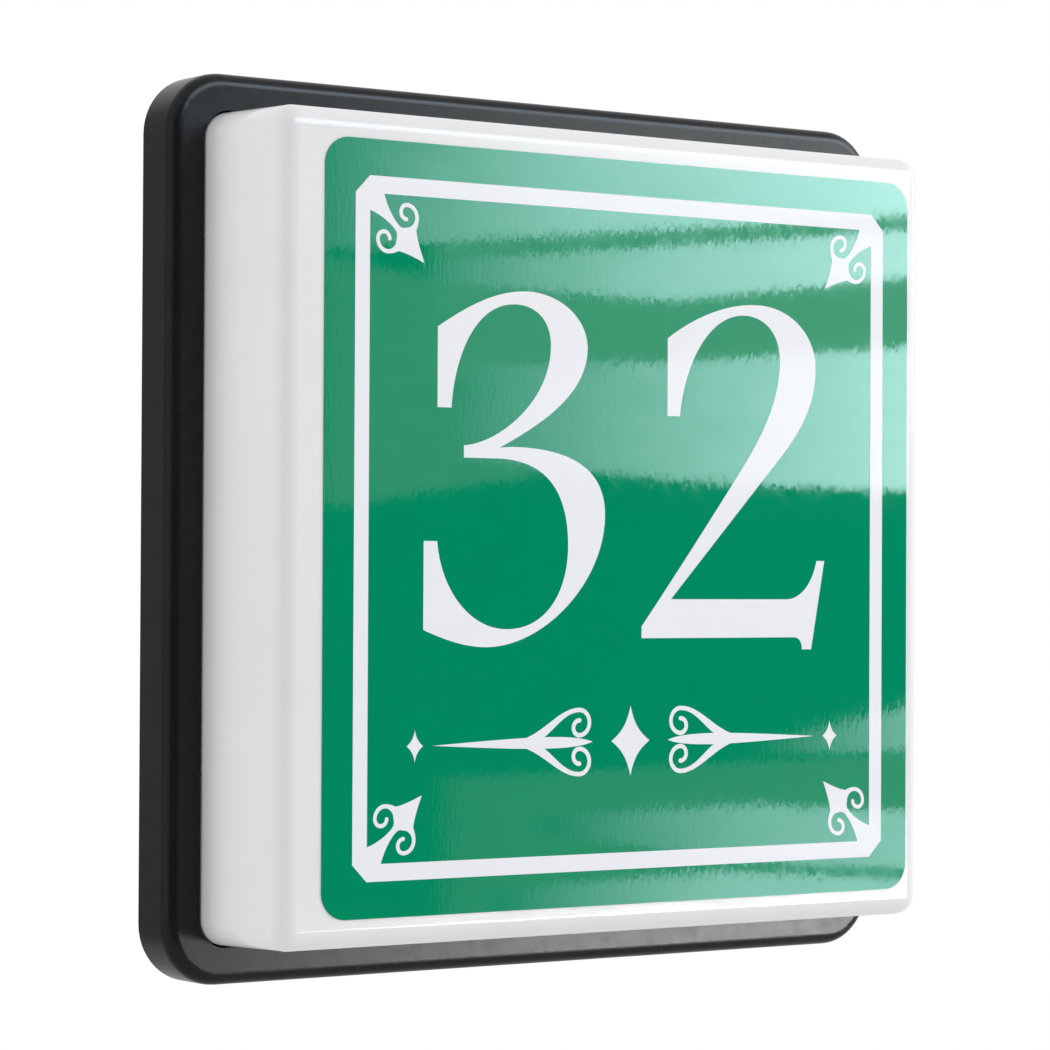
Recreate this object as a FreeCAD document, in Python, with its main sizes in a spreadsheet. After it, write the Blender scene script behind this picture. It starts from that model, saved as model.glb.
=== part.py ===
"""Illuminated house number sign: a black housing on the wall, an opal box and a number film.

The part stands in millimetres. X runs to the right, Z up, and the front faces -Y. The origin is
the centre of the back face, so a piece's depth is its distance in front of the wall, -Y.
"""
import FreeCAD, Part
import math
import os

import Sketcher

Vector = FreeCAD.Vector
Constraint = Sketcher.Constraint
FRONT = Vector(0, -1, 0)
QUARTER_TURNS = 4
SIGNS = (-1, 1)

# ---------------------------------------------------------------- driving dimensions, in mm
SIZES = {
    # The housing: a square tray with a rim, hollow behind the rim and ribbed there.
    "housing_side": 239.5,
    "housing_corner": 16,
    "housing_depth": 15,
    "housing_edge": 3.5,
    "skirt_thick": 2.6,
    "rim_thick": 3,
    "opening_side": 219.8,
    "opening_corner": 7.8,
    "opening_wall": 2.5,
    "floor_thick": 4,
    "rib_thick": 1.6,
    "rib_pitch": 27,
    "rib_count": 8,
    "rib_recess": 1,
    "rib_overlap": 0.4,
    # Seals: foam against the wall, and a ring under the cover's rear edge.
    "wall_seal_side": 209,
    "wall_seal_corner": 5,
    "wall_seal_inner_corner": 1,
    "wall_seal_wide": 5,
    "wall_seal_thick": 2,
    "cover_seal_side": 219.2,
    "cover_seal_corner": 7.5,
    "cover_seal_wide": 3.4,
    "cover_seal_thick": 1.5,
    # Slotted holes for the wall screws, on raised pads.
    "slot_across": 60,
    "slot_up": 91,
    "slot_radius": 2.6,
    "slot_long": 13,
    "slot_pad_wide": 3,
    "slot_pad_thick": 2,
    # Cable entry and its rubber grommet.
    "entry_across": 72,
    "entry_up": 0,
    "entry_radius": 8,
    "entry_recess_radius": 10.6,
    "entry_recess_deep": 1.8,
    "grommet_lip_radius": 10.3,
    "grommet_lip_thick": 1.5,
    "grommet_bead_thick": 2,
    "grommet_bevel": 1,
    "grommet_nose_radius": 5.4,
    "grommet_front": 12,
    "cable_radius": 4,
    # The opal cover: a drafted box with a soft front edge.
    "cover_rear": 5.5,
    "cover_front": 50.7,
    "cover_side": 219.2,
    "cover_corner": 7.5,
    "cover_draft": 1.75,
    "cover_edge": 5.5,
    "cover_thick": 3,
    "cover_inner_edge": 2.5,
    "groove_deep": 0.9,
    "groove_rear": 8.3,
    "groove_wide": 2.4,
    "groove_long": 20,
    # The number film on the cover's front, a little right of its middle.
    "film_wide": 197.1,
    "film_high": 201.2,
    "film_across": 3.3,
    "film_corner": 7.3,
    "film_thick": 0.3,
    # Leaf springs, staked to the floor at the middle of each side.
    "spring_thick": 0.5,
    "spring_wide": 16,
    "spring_foot_start": 91.3,
    "spring_foot_end": 101.5,
    "spring_leg": 102.9,
    "spring_leg_front": 7.2,
    "spring_bump": 106.9,
    "spring_bump_front": 9.5,
    "spring_tip_front": 13.2,
    "stake_offset": 95.3,
    "stake_apart": 9,
    "stake_radius": 1.3,
    "stake_clearance": 0.1,
    "stake_head_radius": 2.2,
    "stake_head_thick": 0.9,
    # The reflector tray and its four posts.
    "tray_side": 194,
    "tray_corner": 6,
    "tray_front": 24,
    "tray_thick": 1,
    "tray_rim": 10,
    "tray_edge": 1.5,
    "post_offset": 91,
    "post_radius": 4,
    "post_hole_radius": 1.5,
    "post_hole_deep": 12,
    "tray_hole_radius": 1.8,
    "access_long": 17,
    "access_radius": 3.6,
    "wire_hole_across": 90,
    "wire_hole_up": 28,
    "wire_hole_radius": 4,
    # The LED board, its LEDs and its connector.
    "board_side": 170,
    "board_corner": 3,
    "board_thick": 1.6,
    "board_hole_radius": 1.7,
    "board_hole_offset": 56,
    "led_count": 6,
    "led_pitch": 28,
    "led_wide": 3.5,
    "led_high": 2.8,
    "led_thick": 0.8,
    "connector_across": 73,
    "connector_long": 10,
    "connector_high": 8,
    "connector_thick": 4.4,
    "connector_hole_clearance": 0.15,
    # Pan-head screws, all M3.
    "screw_radius": 1.45,
    "screw_head_radius": 3,
    "screw_head_thick": 2.2,
    "screw_head_edge": 1,
    "screw_slot_long": 3.4,
    "screw_slot_wide": 0.8,
    "screw_slot_deep": 1,
    "screw_slot_overrun": 0.2,
    "thread_clearance": 0.05,
    "board_screw_long": 4,
    "tray_screw_long": 10,
    "driver_screw_long": 7,
    # The driver: an open case, a lid, a board and the large components.
    "driver_across": 35,
    "driver_up": 45,
    "driver_long": 90,
    "driver_high": 36,
    "driver_rear": 7,
    "driver_lid_rear": 19,
    "driver_front": 20.5,
    "driver_wall": 1.5,
    "driver_corner": 3,
    "driver_lid_edge": 0.8,
    "driver_wire_clearance": 0.2,
    "mains_wire_apart": 8,
    "ear_wide": 10,
    "ear_reach": 9,
    "ear_thick": 2.5,
    "ear_apart": 50,
    "ear_overlap": 1,
    "standoff_radius": 2,
    "standoff_across": 36,
    "standoff_up": 11,
    "driver_board_rear": 10,
    "driver_board_long": 84,
    "driver_board_high": 30,
    "core_wide": 16,
    "core_high": 13,
    "core_front": 18.6,
    "coil_wide": 10,
    "coil_high": 18,
    "coil_recess": 1,
    "coil_corner": 2,
    "can_radius": 3.5,
    "can_long": 13,
    "input_can_across": 20,
    "input_can_up": -5,
    "output_can_across": -32,
    "output_can_up": 5,
    # The terminal block: three poles, each with a brass clamp and two screws.
    "terminal_across": 56,
    "terminal_up": 45,
    "terminal_wide": 18,
    "terminal_long": 30,
    "terminal_rear": 7,
    "terminal_front": 20,
    "terminal_corner": 1.5,
    "terminal_well_radius": 3.2,
    "terminal_well_deep": 4,
    "terminal_hole_radius": 1.6,
    "terminal_screw_rear": 2.5,
    "pole_count": 3,
    "pole_pitch": 10,
    "clamp_radius": 3,
    "clamp_bore": 1.8,
    "clamp_long": 14,
    "clamp_screw_apart": 8,
    "clamp_screw_radius": 1.5,
    "clamp_screw_head_radius": 2,
    "clamp_screw_rear": 14.3,
    "clamp_screw_neck": 16.5,
    "clamp_screw_front": 18.5,
    "clamp_well_radius": 2.3,
    "boss_radius": 4,
    "boss_hole_radius": 1.5,
    "boss_hole_rear": 1.5,
    # Wiring.
    "mains_wire_radius": 1.1,
    "mains_wire_bend": 12,
    "mains_wire_block_run": 10,
    "mains_wire_case_run": 12,
    "mains_wire_tail": 4,
    "led_wire_radius": 0.75,
    "led_wire_bend": 4.5,
    "led_wire_tail": 3,
    "wire_depth": 13,
    "connector_wire_depth": 28,
    "led_wire_apart": 2.4,
    "earth_across": 30,
    "earth_up": 0,
    "earth_wire_bend": 5,
    "earth_wire_drop": 12,
    "earth_wire_run": 5,
    "earth_wire_grip": 3,
    "earth_wire_behind": 1.5,
    "stud_radius": 2,
    "stud_long": 9,
    "nut_across_flats": 7,
    "nut_thick": 3.2,
    "tag_radius": 4,
    "tag_thick": 0.8,
    "tag_barrel_radius": 1.7,
    "tag_barrel_long": 6,
    "tag_clearance": 0.1,
}

doc = FreeCAD.newDocument("house_number_sign")
sheet = doc.addObject("Spreadsheet::Sheet", "dims")
for row, (word, size) in enumerate(SIZES.items(), start=1):
    sheet.set(f"A{row}", word)
    sheet.set(f"B{row}", str(size))
    sheet.setAlias(f"B{row}", word)
doc.recompute()

nodes = []


def value(expression):
    """A size worked out from the sheet, as a plain number."""
    return float(sheet.evalExpression(expression))


def node(kind, label):
    """Start a sub-part: one object of the document whose label names its file."""
    made = doc.addObject(kind, label)
    made.Label = label
    nodes.append(made)
    return made


# ---------------------------------------------------------------- sketches
def origin_feature(body, role):
    return next(f for f in body.Origin.OriginFeatures if f.Role == role)


def sketch_on(body, name, role, offset):
    sketch = body.newObject("Sketcher::SketchObject", name)
    sketch.AttachmentSupport = [(origin_feature(body, role), "")]
    sketch.MapMode = "FlatFace"
    sketch.setExpression(".AttachmentOffset.Base.z", offset)
    return sketch


def front_sketch(body, name, depth):
    """A sketch seen from the front, this far from the wall. Its X and Y are the part's X and Z."""
    return sketch_on(body, name, "XZ_Plane", depth)


def side_sketch(body, name, across):
    """A sketch seen from the side. Its X is minus the depth, and its Y is the part's Z."""
    return sketch_on(body, name, "YZ_Plane", across)


def bind(sketch, expression, kind, *where):
    """Add a sketch dimension that takes its size from the sheet."""
    index = sketch.addConstraint(Constraint(kind, *where, value(expression)))
    sketch.setExpression(f"Constraints[{index}]", expression)


def line(sketch, start, end):
    return sketch.addGeometry(Part.LineSegment(Vector(*start, 0), Vector(*end, 0)))


def arc(sketch, centre, radius, first, last):
    circle = Part.Circle(Vector(*centre, 0), Vector(0, 0, 1), radius)
    return sketch.addGeometry(Part.ArcOfCircle(circle, math.radians(first), math.radians(last)))


def disc(sketch, radius, across="0", up="0"):
    """Draw a circle."""
    centre = Vector(value(across), value(up), 0)
    ring = sketch.addGeometry(Part.Circle(centre, Vector(0, 0, 1), value(radius)))
    bind(sketch, across, "DistanceX", -1, 1, ring, 3)
    bind(sketch, up, "DistanceY", -1, 1, ring, 3)
    bind(sketch, radius, "Radius", ring)


def rectangle(sketch, wide, high, across="0", up="0"):
    """Draw a rectangle with sharp corners about a centre."""
    left, right = (value(f"{across} + ({sign}) * ({wide}) / 2") for sign in SIGNS)
    low, top = (value(f"{up} + ({sign}) * ({high}) / 2") for sign in SIGNS)
    corners = [(left, low), (right, low), (right, top), (left, top)]
    sides = [line(sketch, corners[i], corners[(i + 1) % 4]) for i in range(4)]
    for i in range(4):
        sketch.addConstraint(Constraint("Coincident", sides[i], 2, sides[(i + 1) % 4], 1))
        sketch.addConstraint(Constraint("Vertical" if i % 2 else "Horizontal", sides[i]))
    bind(sketch, wide, "DistanceX", sides[0], 1, sides[0], 2)
    bind(sketch, high, "DistanceY", sides[1], 1, sides[1], 2)
    bind(sketch, f"{across} - ({wide}) / 2", "DistanceX", -1, 1, sides[0], 1)
    bind(sketch, f"{up} - ({high}) / 2", "DistanceY", -1, 1, sides[0], 1)


def rounded_rectangle(sketch, wide, high, corner, across="0", up="0"):
    """Draw a rectangle with rounded corners about a centre."""
    x, z = value(across), value(up)
    a, b, r = value(wide) / 2, value(high) / 2, value(corner)
    sides = [
        line(sketch, (x - a + r, z + b), (x + a - r, z + b)),
        line(sketch, (x + a, z + b - r), (x + a, z - b + r)),
        line(sketch, (x + a - r, z - b), (x - a + r, z - b)),
        line(sketch, (x - a, z - b + r), (x - a, z + b - r)),
    ]
    arcs = [
        arc(sketch, (x + a - r, z + b - r), r, 0, 90),
        arc(sketch, (x + a - r, z - b + r), r, 270, 360),
        arc(sketch, (x - a + r, z - b + r), r, 180, 270),
        arc(sketch, (x - a + r, z + b - r), r, 90, 180),
    ]
    for i in range(4):
        sketch.addConstraint(Constraint("Tangent", sides[i], 2, arcs[i], 2))
        sketch.addConstraint(Constraint("Tangent", arcs[i], 1, sides[(i + 1) % 4], 1))
        sketch.addConstraint(Constraint("Vertical" if i % 2 else "Horizontal", sides[i]))
    for other in arcs[1:]:
        sketch.addConstraint(Constraint("Equal", arcs[0], other))
    bind(sketch, corner, "Radius", arcs[0])
    bind(sketch, wide, "DistanceX", sides[3], 1, sides[1], 1)
    bind(sketch, high, "DistanceY", sides[2], 1, sides[0], 1)
    bind(sketch, f"{across} - ({wide}) / 2 + ({corner})", "DistanceX", -1, 1, arcs[2], 3)
    bind(sketch, f"{up} - ({high}) / 2 + ({corner})", "DistanceY", -1, 1, arcs[2], 3)


def slot(sketch, long, radius, across, up):
    """Draw a slot along X with round ends, about a centre."""
    x, z, r = value(across), value(up), value(radius)
    reach = value(long) / 2 - r
    top = line(sketch, (x - reach, z + r), (x + reach, z + r))
    low = line(sketch, (x + reach, z - r), (x - reach, z - r))
    right = arc(sketch, (x + reach, z), r, -90, 90)
    left = arc(sketch, (x - reach, z), r, 90, 270)
    sketch.addConstraint(Constraint("Tangent", top, 2, right, 2))
    sketch.addConstraint(Constraint("Tangent", right, 1, low, 1))
    sketch.addConstraint(Constraint("Tangent", low, 2, left, 2))
    sketch.addConstraint(Constraint("Tangent", left, 1, top, 1))
    sketch.addConstraint(Constraint("Horizontal", top))
    bind(sketch, radius, "Radius", right)
    bind(sketch, f"({long}) - 2 * ({radius})", "DistanceX", left, 3, right, 3)
    bind(sketch, f"{across} - ({long}) / 2 + ({radius})", "DistanceX", -1, 1, left, 3)
    bind(sketch, up, "DistanceY", -1, 1, left, 3)


# ---------------------------------------------------------------- features
def pad(body, sketch, length, draft=None):
    """Raise a sketch towards the front. A draft narrows it on the way."""
    made = body.newObject("PartDesign::Pad", sketch.Name + "_pad")
    made.Profile = sketch
    made.setExpression("Length", length)
    if draft:
        made.setExpression("TaperAngle", f"-({draft})")
    return made


def pocket(body, sketch, length, forward=False, draft=None):
    """Cut a sketch towards the wall, or towards the front."""
    made = body.newObject("PartDesign::Pocket", sketch.Name + "_cut")
    made.Profile = sketch
    made.Reversed = forward
    made.setExpression("Length", length)
    if draft:
        made.setExpression("TaperAngle", f"-({draft})")
    return made


def edges_at(feature, depth):
    """Names of every edge of a feature that lies in the plane at this depth."""
    doc.recompute()
    plane = -value(depth)
    boxes = [edge.BoundBox for edge in feature.Shape.Edges]
    return [
        f"Edge{number}"
        for number, box in enumerate(boxes, start=1)
        if abs(box.YMin - plane) < 1e-4 and abs(box.YMax - plane) < 1e-4
    ]


def fillet(body, base, radius, depth):
    """Round a feature's edges at this depth."""
    names = edges_at(base, depth)
    made = body.newObject("PartDesign::Fillet", base.Name + "_edge")
    made.Base = (base, names)
    made.setExpression("Radius", radius)
    return made


def chamfer(body, base, size, depth):
    """Bevel a feature's edges at this depth."""
    names = edges_at(base, depth)
    made = body.newObject("PartDesign::Chamfer", base.Name + "_edge")
    made.Base = (base, names)
    made.setExpression("Size", size)
    return made


def around(body, features, count="4"):
    """Repeat features evenly about the Y axis."""
    made = body.newObject("PartDesign::PolarPattern", features[0].Name + "_around")
    made.Originals = features
    made.Axis = (origin_feature(body, "Y_Axis"), [""])
    made.Angle = 360
    made.setExpression("Occurrences", count)
    body.Tip = made
    return made


def row_of(body, feature, pitch, count):
    """Repeat a feature to the right."""
    made = body.newObject("PartDesign::LinearPattern", feature.Name + "_row")
    made.Originals = [feature]
    made.Direction = (origin_feature(body, "X_Axis"), [""])
    made.Mode = "Spacing"
    made.setExpression("Offset", pitch)
    made.setExpression("Occurrences", count)
    body.Tip = made


def corners_of(across, up):
    """The four mirror places of a point, as pairs of expressions."""
    return [(f"({i}) * {across}", f"({j}) * {up}") for i in SIGNS for j in SIGNS]


# ---------------------------------------------------------------- housing and seals
def make_housing():
    body = node("PartDesign::Body", "back_housing")

    block = front_sketch(body, "housing_outline", "0")
    rounded_rectangle(block, "dims.housing_side", "dims.housing_side", "dims.housing_corner")
    fillet(body, pad(body, block, "dims.housing_depth"), "dims.housing_edge", "dims.housing_depth")

    well = front_sketch(body, "housing_well", "dims.housing_depth")
    rounded_rectangle(well, "dims.opening_side", "dims.opening_side", "dims.opening_corner")
    pocket(body, well, "dims.housing_depth - dims.floor_thick")

    hollow = front_sketch(body, "rim_hollow", "0")
    outer = "dims.housing_side - 2 * dims.skirt_thick"
    inner = "dims.opening_side + 2 * dims.opening_wall"
    rounded_rectangle(hollow, outer, outer, "dims.housing_corner - dims.skirt_thick")
    rounded_rectangle(hollow, inner, inner, "dims.opening_corner + dims.opening_wall")
    pocket(body, hollow, "dims.housing_depth - dims.rim_thick", forward=True)

    ribs = front_sketch(body, "rim_ribs", "dims.rib_recess")
    gap = "(dims.housing_side / 2 - dims.skirt_thick - dims.opening_side / 2 - dims.opening_wall)"
    middle = "(dims.housing_side / 2 - dims.skirt_thick + dims.opening_side / 2 + dims.opening_wall) / 2"
    for i in range(int(value("dims.rib_count"))):
        across = f"({i} - (dims.rib_count - 1) / 2) * dims.rib_pitch"
        rectangle(ribs, "dims.rib_thick", f"{gap} + dims.rib_overlap", across, middle)
    rib_pad = pad(body, ribs, "dims.housing_depth - dims.rim_thick - dims.rib_recess")
    around(body, [rib_pad])

    groove = front_sketch(body, "wall_seal_groove", "0")
    wall_seal_outline(groove)
    pocket(body, groove, "dims.wall_seal_thick", forward=True)

    add_slots(body)
    add_posts(body)
    add_bosses(body)
    add_stakes(body)
    add_cable_entry(body)
    return body


def wall_seal_outline(sketch):
    side, corner, wide = "dims.wall_seal_side", "dims.wall_seal_corner", "dims.wall_seal_wide"
    rounded_rectangle(sketch, side, side, corner)
    inner = f"{side} - 2 * {wide}"
    rounded_rectangle(sketch, inner, inner, "dims.wall_seal_inner_corner")


def add_slots(body):
    """Slotted holes for the wall screws, each on a raised pad with the same round ends."""
    pads = front_sketch(body, "slot_pads", "dims.floor_thick")
    holes = front_sketch(body, "slot_holes", "0")
    for across, up in corners_of("dims.slot_across", "dims.slot_up"):
        long = "dims.slot_long + 2 * dims.slot_pad_wide"
        slot(pads, long, "dims.slot_radius + dims.slot_pad_wide", across, up)
        slot(holes, "dims.slot_long", "dims.slot_radius", across, up)
    pad(body, pads, "dims.slot_pad_thick")
    pocket(body, holes, "dims.floor_thick + dims.slot_pad_thick", forward=True)


def add_posts(body):
    """Four tall posts that carry the reflector tray."""
    posts = front_sketch(body, "tray_posts", "dims.floor_thick")
    holes = front_sketch(body, "tray_post_holes", "dims.tray_front - dims.tray_thick")
    for across, up in corners_of("dims.post_offset", "dims.post_offset"):
        disc(posts, "dims.post_radius", across, up)
        disc(holes, "dims.post_hole_radius", across, up)
    pad(body, posts, "dims.tray_front - dims.tray_thick - dims.floor_thick")
    pocket(body, holes, "dims.post_hole_deep")


def driver_ear_places():
    """Centres of the driver's four ears, as pairs of expressions."""
    reach = "(dims.driver_high / 2 + dims.ear_reach / 2)"
    return [
        (f"-dims.driver_across + ({i}) * dims.ear_apart / 2", f"dims.driver_up + ({j}) * {reach}")
        for i in SIGNS
        for j in SIGNS
    ]


def add_bosses(body):
    """Short bosses for the driver's ears and the terminal block."""
    places = driver_ear_places() + terminal_screw_places()
    bosses = front_sketch(body, "short_bosses", "dims.floor_thick")
    holes = front_sketch(body, "short_boss_holes", "dims.driver_rear")
    for across, up in places:
        disc(bosses, "dims.boss_radius", across, up)
        disc(holes, "dims.boss_hole_radius", across, up)
    pad(body, bosses, "dims.driver_rear - dims.floor_thick")
    pocket(body, holes, "dims.driver_rear - dims.boss_hole_rear")


def add_stakes(body):
    """Two moulded stakes through each spring's foot, with heads formed over it."""
    shafts = front_sketch(body, "spring_stakes", "dims.floor_thick")
    heads = front_sketch(body, "spring_stake_heads", "dims.floor_thick + dims.spring_thick")
    for sign in SIGNS:
        across = f"({sign}) * dims.stake_apart / 2"
        disc(shafts, "dims.stake_radius", across, "dims.stake_offset")
        disc(heads, "dims.stake_head_radius", across, "dims.stake_offset")
    shaft_pad = pad(body, shafts, "dims.spring_thick")
    head_pad = pad(body, heads, "dims.stake_head_thick")
    around(body, [shaft_pad, head_pad])


def add_cable_entry(body):
    """A round hole, with a recess behind it that sinks the grommet's lip."""
    recess = front_sketch(body, "entry_recess", "0")
    disc(recess, "dims.entry_recess_radius", "dims.entry_across", "dims.entry_up")
    pocket(body, recess, "dims.entry_recess_deep", forward=True)
    hole = front_sketch(body, "entry_hole", "0")
    disc(hole, "dims.entry_radius", "dims.entry_across", "dims.entry_up")
    pocket(body, hole, "dims.floor_thick", forward=True)


def make_seals():
    wall = node("PartDesign::Body", "wall_gasket")
    ring = front_sketch(wall, "wall_gasket_outline", "0")
    wall_seal_outline(ring)
    pad(wall, ring, "dims.wall_seal_thick")

    cover = node("PartDesign::Body", "cover_gasket")
    ring = front_sketch(cover, "cover_gasket_outline", "dims.floor_thick")
    side, corner, wide = "dims.cover_seal_side", "dims.cover_seal_corner", "dims.cover_seal_wide"
    rounded_rectangle(ring, side, side, corner)
    inner = f"{side} - 2 * {wide}"
    rounded_rectangle(ring, inner, inner, f"{corner} - {wide}")
    pad(cover, ring, "dims.cover_seal_thick")


def make_grommet():
    """A turned rubber sleeve: a lip behind the floor, a bead in front and a tapered nose."""
    body = node("PartDesign::Body", "cable_grommet")
    lip_rear = "dims.entry_recess_deep - dims.grommet_lip_thick"
    bead_front = "dims.floor_thick + dims.grommet_bead_thick"
    profile = [
        ("dims.cable_radius", lip_rear),
        ("dims.grommet_lip_radius", lip_rear),
        ("dims.grommet_lip_radius", "dims.entry_recess_deep"),
        ("dims.entry_radius", "dims.entry_recess_deep"),
        ("dims.entry_radius", "dims.floor_thick"),
        ("dims.grommet_lip_radius", "dims.floor_thick"),
        ("dims.grommet_lip_radius - dims.grommet_bevel", bead_front),
        ("dims.grommet_nose_radius + dims.grommet_bevel", bead_front),
        ("dims.grommet_nose_radius", "dims.grommet_front"),
        ("dims.cable_radius", "dims.grommet_front"),
    ]
    sketch = body.newObject("Sketcher::SketchObject", "grommet_profile")
    sketch.AttachmentSupport = [(origin_feature(body, "XY_Plane"), "")]
    sketch.MapMode = "FlatFace"
    points = [(value(radius), -value(depth)) for radius, depth in profile]
    sides = [line(sketch, points[i], points[(i + 1) % len(points)]) for i in range(len(points))]
    for i, (radius, depth) in enumerate(profile):
        sketch.addConstraint(Constraint("Coincident", sides[i - 1], 2, sides[i], 1))
        bind(sketch, radius, "DistanceX", -1, 1, sides[i], 1)
        bind(sketch, f"-({depth})", "DistanceY", -1, 1, sides[i], 1)
    turned = body.newObject("PartDesign::Revolution", "grommet_turned")
    turned.Profile = sketch
    turned.ReferenceAxis = (sketch, ["V_Axis"])
    turned.Angle = 360
    body.setExpression(".Placement.Base.x", "dims.entry_across")
    body.setExpression(".Placement.Base.z", "dims.entry_up")


# ---------------------------------------------------------------- cover and film
def make_cover():
    """The opal box: drafted, with a soft front edge, and grooves that the springs snap into."""
    body = node("PartDesign::Body", "diffuser_cover")

    box = front_sketch(body, "cover_outline", "dims.cover_rear")
    rounded_rectangle(box, "dims.cover_side", "dims.cover_side", "dims.cover_corner")
    shell = pad(body, box, "dims.cover_front - dims.cover_rear", draft="dims.cover_draft")
    fillet(body, shell, "dims.cover_edge", "dims.cover_front")

    inside = front_sketch(body, "cover_inside", "dims.cover_rear")
    side = "dims.cover_side - 2 * dims.cover_thick"
    rounded_rectangle(inside, side, side, "dims.cover_corner - dims.cover_thick")
    deep = "dims.cover_front - dims.cover_rear - dims.cover_thick"
    hollow = pocket(body, inside, deep, forward=True, draft="dims.cover_draft")
    fillet(body, hollow, "dims.cover_inner_edge", "dims.cover_front - dims.cover_thick")

    groove = front_sketch(body, "spring_groove", "dims.groove_rear")
    across = "dims.cover_side - 2 * dims.cover_thick + 2 * dims.groove_deep"
    rectangle(groove, across, "dims.groove_long")
    around(body, [pocket(body, groove, "dims.groove_wide", forward=True)])


def make_film():
    body = node("PartDesign::Body", "number_film")
    outline = front_sketch(body, "film_outline", "dims.cover_front")
    rounded_rectangle(
        outline, "dims.film_wide", "dims.film_high", "dims.film_corner", "dims.film_across"
    )
    pad(body, outline, "dims.film_thick")


# ---------------------------------------------------------------- leaf springs
def make_springs():
    """Four strips folded to a foot, a leg and a bump that snaps into the cover's groove."""
    springs = node("Part::Feature", "retaining_springs")
    mid = value("dims.spring_thick") / 2
    foot_depth = value("dims.floor_thick") + mid
    folds = [
        (value("dims.spring_foot_start"), foot_depth),
        (value("dims.spring_foot_end"), foot_depth),
        (value("dims.spring_leg"), value("dims.spring_leg_front")),
        (value("dims.spring_bump"), value("dims.spring_bump_front")),
        (value("dims.spring_leg"), value("dims.spring_tip_front")),
    ]
    wide = value("dims.spring_wide")
    fold_line = Part.makePolygon([Vector(-wide / 2, -depth, up) for up, depth in folds])
    strip = fold_line.makeOffset2D(mid, 0, True, False, False).extrude(Vector(wide, 0, 0))
    hole_radius = value("dims.stake_radius + dims.stake_clearance")
    for sign in SIGNS:
        foot = Vector(sign * value("dims.stake_apart") / 2, 0, value("dims.stake_offset"))
        strip = strip.cut(Part.makeCylinder(hole_radius, 2 * foot_depth, foot, FRONT))
    strips = []
    for i in range(QUARTER_TURNS):
        copy = strip.copy()
        copy.rotate(Vector(0, 0, 0), Vector(0, 1, 0), 90 * i)
        strips.append(copy)
    springs.Shape = Part.makeCompound(strips)


# ---------------------------------------------------------------- screws
def make_screws(label, seat, long, places):
    """Slotted pan-head screws whose heads lie on a face at the depth of seat."""
    body = node("PartDesign::Body", label)
    heads = front_sketch(body, label + "_heads", seat)
    shafts = front_sketch(body, label + "_shafts", f"{seat} - ({long})")
    slots = front_sketch(body, label + "_slots", f"{seat} + dims.screw_head_thick")
    for across, up in places:
        disc(heads, "dims.screw_head_radius", across, up)
        disc(shafts, "dims.screw_radius", across, up)
        rectangle(slots, "dims.screw_slot_long", "dims.screw_slot_wide", across, up)
    front = f"{seat} + dims.screw_head_thick"
    chamfer(body, pad(body, heads, "dims.screw_head_thick"), "dims.screw_head_edge", front)
    pad(body, shafts, long)
    pocket(body, slots, "dims.screw_slot_deep")


def make_all_screws():
    board_front = "dims.tray_front + dims.board_thick"
    tray_places = corners_of("dims.post_offset", "dims.post_offset")
    ear_front = "dims.driver_rear + dims.ear_thick"
    make_screws("led_board_screws", board_front, "dims.board_screw_long", board_hole_places())
    make_screws("tray_screws", "dims.tray_front", "dims.tray_screw_long", tray_places)
    make_screws("driver_screws", ear_front, "dims.driver_screw_long", driver_ear_places())
    block_long = f"{TERMINAL_SEAT} - dims.terminal_screw_rear"
    make_screws("terminal_block_screws", TERMINAL_SEAT, block_long, terminal_screw_places())


# ---------------------------------------------------------------- reflector tray and LED board
def make_tray():
    """A folded white sheet: a flat face, a rim turned back all round, and its holes."""
    body = node("PartDesign::Body", "reflector_tray")
    rear = "dims.tray_front - dims.tray_thick"

    outline = front_sketch(body, "tray_outline", "dims.tray_front - dims.tray_rim")
    rounded_rectangle(outline, "dims.tray_side", "dims.tray_side", "dims.tray_corner")
    fillet(body, pad(body, outline, "dims.tray_rim"), "dims.tray_edge", "dims.tray_front")

    inside = front_sketch(body, "tray_inside", "dims.tray_front - dims.tray_rim")
    side = "dims.tray_side - 2 * dims.tray_thick"
    rounded_rectangle(inside, side, side, "dims.tray_corner - dims.tray_thick")
    pocket(body, inside, "dims.tray_rim - dims.tray_thick", forward=True)

    stud = front_sketch(body, "earth_stud", f"{rear} - dims.stud_long")
    disc(stud, "dims.stud_radius", "dims.earth_across", "dims.earth_up")
    pad(body, stud, "dims.stud_long")

    holes = front_sketch(body, "tray_holes", rear)
    for across, up in corners_of("dims.post_offset", "dims.post_offset"):
        disc(holes, "dims.tray_hole_radius", across, up)
    for across, up in board_hole_places():
        disc(holes, "dims.screw_radius + dims.thread_clearance", across, up)
    for across, up in corners_of("dims.slot_across", "dims.slot_up"):
        slot(holes, "dims.access_long", "dims.access_radius", across, up)
    disc(holes, "dims.wire_hole_radius", "-dims.wire_hole_across", "dims.wire_hole_up")
    pocket(body, holes, "dims.tray_thick", forward=True)


def board_hole_places():
    return corners_of("dims.board_hole_offset", "dims.board_hole_offset") + [("0", "0")]


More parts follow.
